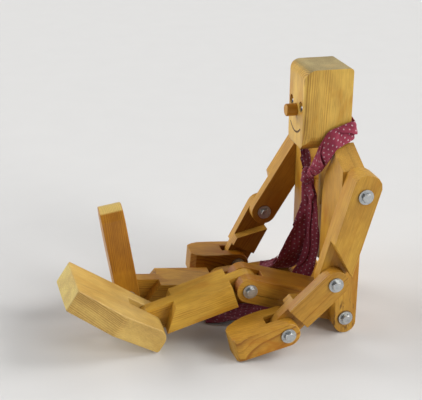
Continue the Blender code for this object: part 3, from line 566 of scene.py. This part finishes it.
def build(name, rows, uvs):
    """Cloth from rows of points, with flat coordinates in metres as its UVs."""
    n, m = rows.shape[:2]
    mesh = bpy.data.meshes.new(name)
    faces, corners = [], []
    for i in range(n - 1):
        for j in range(m - 1):
            faces.append((i * m + j, i * m + j + 1, (i + 1) * m + j + 1, (i + 1) * m + j))
            corners += [(i, j), (i, j + 1), (i + 1, j + 1), (i + 1, j)]
    mesh.from_pydata(rows.reshape(-1, 3).tolist(), [], faces)
    layer = mesh.uv_layers.new(name="flat")
    for corner, (i, j) in zip(layer.data, corners):
        corner.uv = uvs[i, j]
    mesh.polygons.foreach_set("use_smooth", [True] * len(mesh.polygons))
    ob = bpy.data.objects.new(name, mesh)
    scene.collection.objects.link(ob)
    mod = ob.modifiers.new("thickness", "SOLIDIFY")
    mod.thickness = CLOTH_THICK
    mod.offset = 0
    return ob


def turn_back(t):
    """0, 1, 0, 1 ... at whole numbers, straight between them, with soft ends: folds laid flat."""
    return 0.5 - math.asin(FOLD_SOFTNESS * math.cos(math.pi * t)) / (2 * math.asin(FOLD_SOFTNESS))


def folded(name, stations, seed, rows, across, depth, swell=0.0026):
    """The strip, folded lengthwise into flat layers between two edges. Each station is (edge A,
    edge B, centre) in millimetres from the figure's own zero, and centre says how much of the
    stack lies behind the edges. Where the edges are close together there are more layers, so the
    cloth keeps its real width. The layers fill at most `depth`, and `swell` lets them bulge."""
    table, length = spline([(*a, *b, k) for a, b, k in stations], rows)
    table[:, 0:6] *= 0.001
    length *= 0.001
    table[:, (1, 4)] += ZERO_Y
    a, b = table[:, 0:3], table[:, 3:6]
    along = np.gradient((a + b) / 2, axis=0)
    out = np.zeros((rows + 1, across + 1, 3))
    uv = np.zeros((rows + 1, across + 1, 2))
    for i in range(rows + 1):
        span = b[i] - a[i]
        s = np.linalg.norm(span)
        normal = np.cross(along[i], span)
        normal /= np.linalg.norm(normal) + 1e-12
        layers = max(CLOTH_WIDTH / s, 1.02)
        gap = min(LAYER_GAP, depth / layers)
        v = i / rows * length
        for j in range(across + 1):
            u = j / across
            p = turn_back(u * layers)
            soft = (0.55 * math.sin(2 * math.pi * (0.85 * p + 1.3 * slow_noise(v * 18, seed)) + seed)
                    + 0.45 * slow_noise(p * 5.5 + v * 30, seed + 4))
            ripple = RIPPLE * slow_noise(u * 40 + v * 110, seed + 9)
            lift = (u * layers - table[i, 6] * layers) * gap + soft * min(swell, 0.10 * s) + ripple
            out[i, j] = a[i] + span * p + normal * lift
            uv[i, j] = (u * CLOTH_WIDTH, v)
    return build(name, out, uv), length


def declare(ob, mat, node):
    """Gives a piece of cloth its material and hides the CAD node whose place it takes."""
    ob.data.materials.append(mat)
    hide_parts(node)


# fabric_shade is a darker copy of the cotton with duller dots, used for the tails and the knot: painted
# shade
fabric = cotton("dotted_cotton", 1.05, far_shade=(0.60, 0.58, 0.62))
fabric_shade = cotton("dotted_cotton_shaded", 0.68, dots=(0.34, 0.22, 0.26))
# the loop behind the head and over both shoulders, from its middle to the knot: its upper edge,
# its lower edge, and the lower edge where it differs over the right shoulder
UPPER = [(0, 21.2, 257), (18, 21.2, 257), (32.2, 21.0, 256), (33.4, 14, 253), (33.4, 4, 247.6),
         (33.4, -6, 242.5), (31.6, -15.6, 226.5), (28, -18.9, 216.7), (21, -20.8, 204.8),
         (9.5, -22.0, 190), (3.5, -21.5, 182)]
LOWER = [(0, 22.4, 236), (18, 22.4, 236), (36.0, 22.0, 236), (44.8, 14.6, 234.4), (51.2, 3.5, 231.5),
         (57, -5.8, 228.8), (53.5, -11.2, 217), (40, -11.8, 205), (28, -13.4, 192.6),
         (15.5, -15.5, 184.2), (6.5, -17.5, 178.5)]
LOWER_FAR = LOWER[:6] + [(50, -9.8, 216), (36.5, -9, 206), (24.5, -7.5, 197), (13, -12.5, 186),
                         (6, -17.0, 178.5)]
over_right = [((-ax, ay, az), (-bx, by, bz), 0.0)
              for (ax, ay, az), (bx, by, bz) in list(zip(UPPER, LOWER_FAR))[:0:-1]]
over_left = [(a, b, 0.0) for a, b in zip(UPPER, LOWER)]
loop, run = folded("scarf_loop_cloth", over_right + over_left, seed=2.0, rows=240, across=84,
                   depth=0.0050, swell=0.0014)
declare(loop, fabric, "scarf_loop")
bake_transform(loop)

LONG_TAIL = [  # down the chest, then forwards along the floor
    ((-3, -24, 177), (5, -16, 177), 0.5), ((-4, -24, 167), (9, -14.5, 167), 0.5),
    ((-5, -22, 152), (12, -12, 152), 0.5), ((-5, -20.5, 132), (13.5, -9.5, 132), 0.45),
    ((-5, -19.5, 110), (14, -7.5, 110), 0.45), ((-5, -19, 85), (14, -6.5, 86), 0.45),
    ((-7, -22, 62), (12, -8.5, 64), 0.4), ((-10, -29, 45), (10, -12, 46), 0.3),
    ((-11, -42, 22), (10, -26, 22), 0.2), ((-11, -62, 7.2), (10, -48, 6.8), 0.0),
    ((-12, -84, 3.2), (20, -76, 3.2), 0.0), ((-12, -112, 2.7), (32, -102, 2.7), 0.0),
    ((-10, -138, 2.6), (33, -132, 2.6), 0.0), ((-6, -160, 2.6), (26, -156, 2.6), 0.0)]
tail, run = folded("scarf_tail_long_cloth", LONG_TAIL, seed=5.0, rows=220, across=84, depth=0.0066)
declare(tail, fabric_shade, "scarf_tail_long")
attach(tail, "torso")

SHORT_TAIL = [  # down the chest, then over the right thigh
    ((1, -17, 177), (-4, -24, 177), 0.5), ((2, -16.5, 167), (-5, -24.5, 167), 0.5),
    ((0, -16.5, 152), (-5.5, -25, 152), 0.5), ((-2, -16, 138), (-5, -26, 138), 0.4),
    ((-4, -16.5, 112), (-3, -34.5, 112), 0.3), ((-7, -16, 88), (-5, -43.5, 88), 0.3),
    ((-11, -18, 67), (-8.5, -52, 66), 0.3), ((-15, -23, 52), (-14, -60, 50), 0.2),
    ((-25, -28, 41.5), (-26, -66, 41), 0.1), ((-40, -29, 38.5), (-42, -67, 38), 0.0),
    ((-57, -30, 37.8), (-55, -62, 37.4), 0.0)]
short, run = folded("scarf_tail_short_cloth", SHORT_TAIL, seed=8.0, rows=150, across=84, depth=0.0066)
declare(short, fabric_shade, "scarf_tail_short")
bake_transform(short)

# the knot: the strip's wrap round the straps, a band with soft ridges
KNOT_AT, KNOT_R, KNOT_H = Vector((0.0010, ZERO_Y - 0.0205, 0.1788)), 0.0079, 0.0215
KNOT_FLAT = (2 * math.pi * KNOT_R * 0.92, KNOT_H * 1.15)        # its girth and its height, laid flat
rows, across = 30, 72
band = np.zeros((rows + 1, across + 1, 3))
uv = np.zeros((rows + 1, across + 1, 2))
for i in range(rows + 1):
    v = i / rows
    belly = (0.60 + 0.40 * min(1.0, v / 0.6) ** 0.8     # widest below its middle, both rims drawn in
             - 0.30 * max(0.0, v - 0.86) / 0.14 - 0.25 * max(0.0, 0.08 - v) / 0.08)
    for j in range(across + 1):
        q = 2 * math.pi * j / across
        slant = v + 0.22 * math.sin(q + 0.8)
        ridge = (0.055 * math.sin(2 * math.pi * 1.9 * slant)
                 + 0.03 * slow_noise(math.sin(q) * 3 + v * 6, 3.0)
                 + 0.02 * slow_noise(math.cos(q) * 5 + v * 9, 7.0))
        r = KNOT_R * (belly + ridge)
        tilt = 0.0022 * math.cos(q + 0.6)
        band[i, j] = (KNOT_AT.x + r * 1.02 * math.cos(q), KNOT_AT.y + r * math.sin(q),
                      KNOT_AT.z + KNOT_H * (0.5 - v) + tilt)
        uv[i, j] = (q * KNOT_R, v * KNOT_FLAT[1])
band[:, -1] = band[:, 0]
knot = build("scarf_knot_cloth", band, uv)
declare(knot, fabric_shade, "scarf_knot")
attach(knot, "torso")

# ------------------------------------------------------------------ floor
FLOOR_HALF, FLOOR_Z = 9, -0.0002                 # just under the figure
t = Tree("floor")
grain = t.noise(t.coords.outputs["Object"], 14.0, 3.0)
t.feed(t.shader.inputs["Base Color"], t.mix(grain.outputs[0], (0.625, 0.624, 0.622), (0.650, 0.649, 0.647)))
t.shader.inputs["Roughness"].default_value = 0.75
t.shader.inputs["Specular IOR Level"].default_value = 0.2
mesh = bpy.data.meshes.new("floor")
corners = [(x * FLOOR_HALF, y * FLOOR_HALF, FLOOR_Z) for x, y in ((-1, -1), (1, -1), (1, 1), (-1, 1))]
mesh.from_pydata(corners, [], [(0, 1, 2, 3)])
mesh.materials.append(t.mat)
floor = bpy.data.objects.new("floor", mesh)
scene.collection.objects.link(floor)
